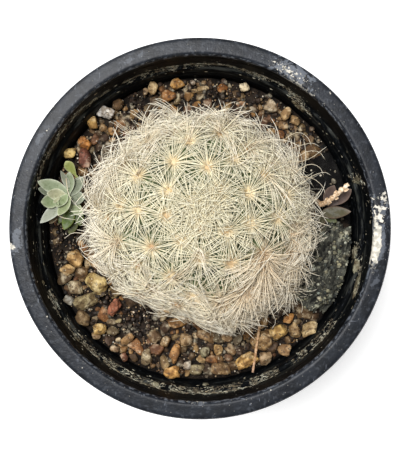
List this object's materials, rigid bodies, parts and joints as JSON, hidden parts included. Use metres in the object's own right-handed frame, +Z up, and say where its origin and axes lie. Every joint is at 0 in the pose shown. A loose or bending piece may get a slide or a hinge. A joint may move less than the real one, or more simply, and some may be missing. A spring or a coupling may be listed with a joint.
{
  "type": "potted feather cactus",
  "caption": "Round ball cactus covered in feathery cream spines, growing in gravel in a round black nursery pot with small succulents and a dark stone beside it.",
  "frame": {"origin": "middle of the pot's foot ring, on the surface that the pot stands on", "axes": "+Z up along the pot's axis, +X to the right side of the picture, +Y to its top edge"},
  "size_m": [0.105, 0.105, 0.1068],
  "materials": {
    "pot_plastic": "satin moulded plastic with lime crust",
    "soil": "moist gritty peat mix",
    "gravel": "mixed tan and brown grit",
    "cactus": "green flesh under cream feathery spines",
    "grey_green_leaf": "powdery succulent leaf",
    "brown_leaf": "smooth succulent leaf",
    "dry_stalk": "dry fibrous",
    "cinder": "rough porous cinder",
    "straw": "dry grass"
  },
  "bodies": {
    "root": {"pot": "pot_plastic", "potting_mix": "soil", "gravel_dressing": "gravel", "feather_cactus": "cactus", "left_rosette": "grey_green_leaf", "right_rosette": "brown_leaf", "dry_stalk": "dry_stalk", "lava_stone": "cinder", "straw": "straw"}
  },
  "joints": []
}
